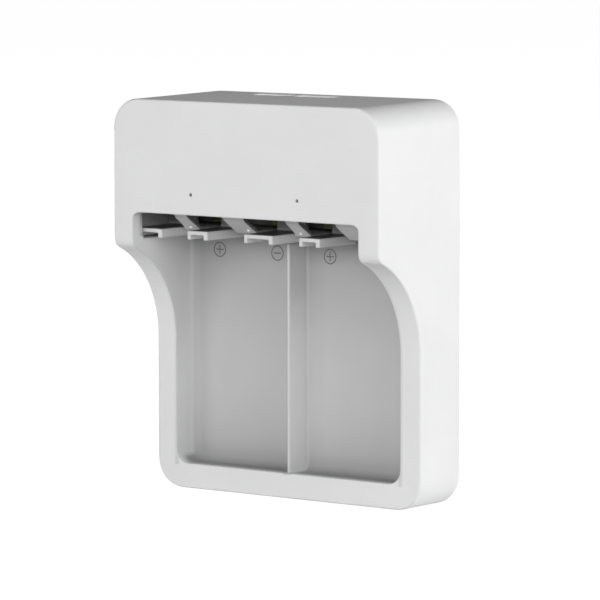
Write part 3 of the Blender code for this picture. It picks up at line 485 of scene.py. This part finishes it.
def smoothed(name, node, material):
    """Copy of a solid whose arcs are shaded round."""
    form = bmesh.new()
    form.from_mesh(NODES[node].data)
    bmesh.ops.remove_doubles(form, verts=form.verts, dist=WELD)
    mesh = bpy.data.meshes.new(name)
    form.to_mesh(mesh)
    form.free()
    for layer in ("custom_normal", "sharp_edge", "sharp_face"):
        if layer in mesh.attributes:
            mesh.attributes.remove(mesh.attributes[layer])
    mesh.materials.clear()
    mesh.materials.append(material)
    mesh.shade_smooth()
    mesh.set_sharp_from_angle(angle=SHARP_ANGLE)
    piece = linked(name, mesh)
    weights = piece.modifiers.new("weights", "WEIGHTED_NORMAL")
    weights.keep_sharp = True
    weights.weight = FLAT_FACE_WEIGHT
    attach(piece, BODY)
    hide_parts(node)


def cross_outline(x, z, reach, stroke):
    h = stroke / 2
    corners = [(h, h), (h, reach), (-h, reach), (-h, h), (-reach, h), (-reach, -h),
               (-h, -h), (-h, -reach), (h, -reach), (h, -h), (reach, -h), (reach, h)]
    return [(x + p, z + q) for p, q in corners]


def bar_outline(x, z, reach, stroke):
    """Level bar with round ends."""
    half = stroke / 2
    points = []
    for side, start in ((1, -90), (-1, 90)):
        for step in range(SIGN_STEPS + 1):
            a = math.radians(start + 180 * step / SIGN_STEPS)
            points.append((x + side * (reach - half) + half * math.cos(a), z + half * math.sin(a)))
    return points


def prism(form, outline, front, back):
    """Closed prism from an (x, z) outline, between two y values."""
    near, far = ([form.verts.new((x, y, z)) for x, z in outline] for y in (front, back))
    form.faces.new(near)
    form.faces.new(list(reversed(far)))
    skin(form, (near, far))


def ring_band(form, x, z, outer, inner, front, back):
    """Closed flat ring between two radii and two y values."""
    rows = []
    for step in range(MARK_STEPS):
        a = math.tau * step / MARK_STEPS
        rows.append([form.verts.new((x + r * math.cos(a), y, z + r * math.sin(a)))
                     for r, y in ((outer, front), (inner, front), (inner, back), (outer, back))])
    skin(form, [*rows, rows[0]])


def screw(index):
    """Pan head screw with a tapered cross recess."""
    node = f"cover_screw_{index}"
    low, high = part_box(node)
    x, z, top = (low.x + high.x) / 2, (low.z + high.z) / 2, high.y
    form = bmesh.new()
    angles = [math.tau * k / SCREW_STEPS for k in range(SCREW_STEPS)]
    rings = [[form.verts.new((x + radius * math.cos(a), top - back, z + radius * math.sin(a)))
              for a in angles] for radius, back in SCREW_PROFILE]
    mouth, foot = ([form.verts.new((px, top - back, pz)) for px, pz in cross_outline(x, z, reach, stroke)]
                   for reach, stroke, back in SCREW_CROSS)
    skin(form, rings)
    skin(form, (mouth, foot))
    form.faces.new(rings[-1])
    form.faces.new(foot)
    edges = [form.edges.get(pair) for loop in (rings[0], mouth) for pair in zip(loop, [*loop[1:], loop[0]])]
    bmesh.ops.triangle_fill(form, use_beauty=True, edges=edges, normal=(0, 1, 0))
    head = piece_from(f"screw_{index}", form, ZINC)
    head.data.set_sharp_from_angle(angle=SHARP_ANGLE)
    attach(head, BODY)
    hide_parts(node)


def polarity_mark(name, x, plus):
    """Printed ring with its sign on the bay floor."""
    form = bmesh.new()
    front, back = FLOOR_Y - MARK_RELIEF, FLOOR_Y + MARK_RELIEF
    ring_band(form, x, MARK_HEIGHT, MARK_OUTER, MARK_OUTER - MARK_STROKE, front, back)
    outline = cross_outline if plus else bar_outline
    prism(form, outline(x, MARK_HEIGHT, SIGN_REACH, MARK_STROKE), front, back)
    mark = piece_from(name, form, INK, False)
    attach(mark, BODY)


def pip(name, x):
    """Small moulded dome on the slanted strip between two windows."""
    start = Vector((x, FRONT_Y + PIP_DEPTH, PIP_BELOW))
    hit, place, normal, _ = NODES["front_housing"].ray_cast(start, Vector((0, 0, 1)))
    if not hit:
        raise RuntimeError(f"no strip above {name}")
    form = bmesh.new()
    around, along = PIP_STEPS
    bmesh.ops.create_uvsphere(form, u_segments=around, v_segments=along, radius=PIP_RADIUS)
    dome = piece_from(name, form, PIP_HIGHLIGHT_WHITE)
    turn = normal.to_track_quat("Z", "Y").to_matrix().to_4x4()
    dome.data.transform(Matrix.Translation(place) @ turn @ Matrix.Diagonal((1, 1, PIP_FLATNESS, 1)))
    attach(dome, BODY)


def strip_path(front, seat, back, low, high):
    """Centre line of a strip in (depth, z), rounded at its two bends."""
    y = back - STRIP_BEND
    bends = []
    for z, start in ((low + STRIP_BEND, -90), (high - STRIP_BEND, 0)):
        for step in range(STRIP_BEND_STEPS + 1):
            a = math.radians(start + 90 * step / STRIP_BEND_STEPS)
            bends.append((y + STRIP_BEND * math.cos(a), z + STRIP_BEND * math.sin(a)))
    return [(front, low), *bends, (seat, high)]


def contact(side):
    """Bent nickel strip with a pressed dimple under its spring."""
    node = f"{side}_contact"
    low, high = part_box(node)
    half = STRIP_THICKNESS / 2
    top = high.z - DIMPLE_RISE - half
    path = strip_path(FRONT_Y + STRIP_FRONT, FRONT_Y + STRIP_SEAT, high.y - half, low.z + half, top)
    form = bmesh.new()
    rows = []
    for index, (y, z) in enumerate(path):
        before, after = path[max(index - 1, 0)], path[min(index + 1, len(path) - 1)]
        along = Vector((after[0] - before[0], after[1] - before[1])).normalized()
        across = Vector((-along.y, along.x)) * half
        rows.append([form.verts.new((x, y + sign * across.x, z + sign * across.y))
                     for x, sign in ((low.x, 1), (high.x, 1), (high.x, -1), (low.x, -1))])
    middle = Vector(((low.x + high.x) / 2, FRONT_Y + DIMPLE_DEPTH, top))
    angles = [math.tau * k / DIMPLE_STEPS for k in range(DIMPLE_STEPS)]
    rings = []
    for share in DIMPLE_SHARES:
        radius = DIMPLE_RADIUS * math.cos(math.asin(share))
        rise = share * (DIMPLE_RISE + half)
        rings.append([form.verts.new(middle + Vector((radius * math.cos(a), radius * math.sin(a), rise)))
                      for a in angles])
    skin(form, rows)
    form.faces.new(rows[0])
    form.faces.new(list(reversed(rows[-1])))
    skin(form, rings)
    form.faces.new(rings[-1])
    form.faces.new(list(reversed(rings[0])))
    strip = piece_from(f"{side}_strip", form, NICKEL, False)
    for face in strip.data.polygons:
        face.use_smooth = len(face.vertices) == 4 and face.area < STRIP_FLAT_AREA
    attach(strip, f"{side}_slider")
    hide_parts(node)


def sense_board(name, rail):
    """Small notched board behind the gap beside a rail, under the guide bar."""
    guide_low, guide_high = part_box("rail_guide")
    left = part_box(f"{rail}_rail")[0].x - SENSE_REACH
    right = left + SENSE_WIDTH
    middle = (left + right) / 2
    low, high = guide_low.z + SENSE_LIFT, guide_high.z - GUIDE_BAR
    outline = [(left, high), (left, low + SENSE_CORNER), (left + SENSE_CORNER, low)]
    for step in range(SENSE_NOTCH_STEPS + 1):
        a = math.pi * step / SENSE_NOTCH_STEPS
        outline.append((middle - SENSE_NOTCH * math.cos(a), low + SENSE_NOTCH * math.sin(a)))
    outline += [(right - SENSE_CORNER, low), (right, low + SENSE_CORNER), (right, high)]
    form = bmesh.new()
    prism(form, outline, FRONT_Y + SENSE_DEPTH, FRONT_Y + SENSE_DEPTH + SENSE_THICKNESS)
    board = piece_from(name, form, BOARD, False)
    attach(board, BODY)


def coil_lift(share, free):
    """Height of the wire's middle above its start: two closed ends and open turns between."""
    opened = min(max((share - SPRING_CLOSED) / (1 - 2 * SPRING_CLOSED), 0), 1)
    first = min(share / SPRING_CLOSED, 1)
    last = max((share - 1 + SPRING_CLOSED) / SPRING_CLOSED, 0)
    return opened * (free - 4 * SPRING_WIRE) + 2 * SPRING_WIRE * (first + last)


def spring(side):
    """Compression spring with closed ends, at the length of its part."""
    node = f"{side}_spring"
    low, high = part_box(node)
    centre = (low + high) / 2
    length = high.z - low.z
    steps = int(SPRING_TURNS * SPRING_STEPS)
    form = bmesh.new()
    rings = []
    for step in range(steps + 1):
        share = step / steps
        lift = coil_lift(share, length - 2 * SPRING_WIRE)
        angle = math.tau * SPRING_TURNS * share
        outward = Vector((math.cos(angle), math.sin(angle), 0))
        middle = outward * SPRING_RADIUS + Vector((centre.x, centre.y, low.z + SPRING_WIRE + lift))
        ring = []
        for k in range(SPRING_SIDES):
            a = math.tau * k / SPRING_SIDES
            edge = outward * math.cos(a) + Vector((0, 0, math.sin(a)))
            ring.append(form.verts.new(middle + edge * SPRING_WIRE))
        rings.append(ring)
    skin(form, rings)
    form.faces.new(list(reversed(rings[0])))
    form.faces.new(rings[-1])
    coil = piece_from(f"{side}_coil", form, STEEL)
    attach(coil, BODY)
    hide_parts(node)
    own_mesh(coil)


# Stage

def stage_floor():
    form = bmesh.new()
    corners = ((-1, -1), (1, -1), (1, 1), (-1, 1))
    form.faces.new([form.verts.new((x * STUDIO_REACH, y * STUDIO_REACH, 0)) for x, y in corners])
    tree = Tree("studio_floor")
    rays = tree.node("ShaderNodeLightPath").outputs
    mirrored = tree.calculated("MAXIMUM", rays["Is Glossy Ray"], rays["Is Transmission Ray"])
    seen = tree.calculated("MAXIMUM", rays["Is Camera Ray"], mirrored)
    paper = tree.node("ShaderNodeBsdfDiffuse", Color=(PAPER, PAPER, PAPER, 1))
    glow = tree.node("ShaderNodeEmission", Strength=PAPER_GLOW)
    both = tree.node("ShaderNodeMixShader")
    tree.link(tree.ranged(seen, 0, PAPER_GLOW_SHARE, 0, 1), both, 0)
    tree.link(paper.outputs[0], both, 1)
    tree.link(glow.outputs[0], both, 2)
    piece_from("studio_floor", form, tree.finished(both), False)


def aimed(obj, azimuth, elevation, distance, target, roll=0.0):
    """Stands obj off from target along an azimuth from the front and an elevation, looking at it."""
    a, e, r = math.radians(azimuth), math.radians(elevation), math.radians(roll)
    back = Vector((math.sin(a) * math.cos(e), -math.cos(a) * math.cos(e), math.sin(e)))
    right = Vector((math.cos(a), math.sin(a), 0))
    up = back.cross(right)
    right, up = right * math.cos(r) + up * math.sin(r), up * math.cos(r) - right * math.sin(r)
    turn = Matrix((right, up, back)).transposed().to_4x4()
    obj.matrix_world = Matrix.Translation(target + back * distance) @ turn


def softbox(name, azimuth, elevation, height, power, glossy):
    data = bpy.data.lights.new(name, "AREA")
    data.shape = "RECTANGLE"
    data.size = LAMP_WIDTH
    data.size_y = height
    data.energy = power
    lamp = linked(name, data)
    lamp.visible_camera = False
    lamp.visible_glossy = glossy
    aimed(lamp, azimuth, elevation, LAMP_DISTANCE, LAMP_TARGET)


def studio():
    scene = bpy.context.scene
    scene.view_settings.view_transform = "Standard"
    world = bpy.data.worlds.new("studio")
    scene.world = world
    world.use_nodes = True
    nodes, links = world.node_tree.nodes, world.node_tree.links
    nodes.clear()
    path = nodes.new("ShaderNodeLightPath")
    strength = nodes.new("ShaderNodeMapRange")
    strength.inputs["To Min"].default_value = SKY_LIGHT
    strength.inputs["To Max"].default_value = 1.0
    links.new(path.outputs["Is Camera Ray"], strength.inputs["Value"])
    sky = nodes.new("ShaderNodeBackground")
    sky.inputs["Color"].default_value = (1, 1, 1, 1)
    links.new(strength.outputs["Result"], sky.inputs["Strength"])
    output = nodes.new("ShaderNodeOutputWorld")
    links.new(sky.outputs[0], output.inputs["Surface"])
    for lamp in LAMPS:
        softbox(*lamp)
    data = bpy.data.cameras.new("camera")
    data.sensor_width = SENSOR
    data.lens = LENS
    data.clip_start = CAMERA_CLIP
    camera = linked("camera", data)
    aimed(camera, CAMERA_AZIMUTH, CAMERA_ELEVATION, CAMERA_DISTANCE, CAMERA_TARGET, CAMERA_ROLL)
    scene.camera = camera


studio()
stage_floor()
dress_nodes()
for number, x in enumerate(PIP_PLACES, 1):
    pip(f"strip_pip_{number}", x)
smoothed("housing_shell", "front_housing", HOUSING_WHITE)
smoothed("cover_shell", "rear_cover", WHITE)
for index in range(1, 5):
    screw(index)
for bay, middle in (("left", -BAY_CENTRE), ("right", BAY_CENTRE)):
    polarity_mark(f"{bay}_plus_mark", middle + MARK_SHIFT - MARK_OFFSET, True)
    polarity_mark(f"{bay}_minus_mark", middle + MARK_SHIFT + MARK_OFFSET, False)
    for pole in ("plus", "minus"):
        spring(f"{bay}_{pole}")
        contact(f"{bay}_{pole}")
for number, rail in enumerate(("left_minus", "right_plus", "right_minus"), 1):
    sense_board(f"sense_board_{number}", rail)
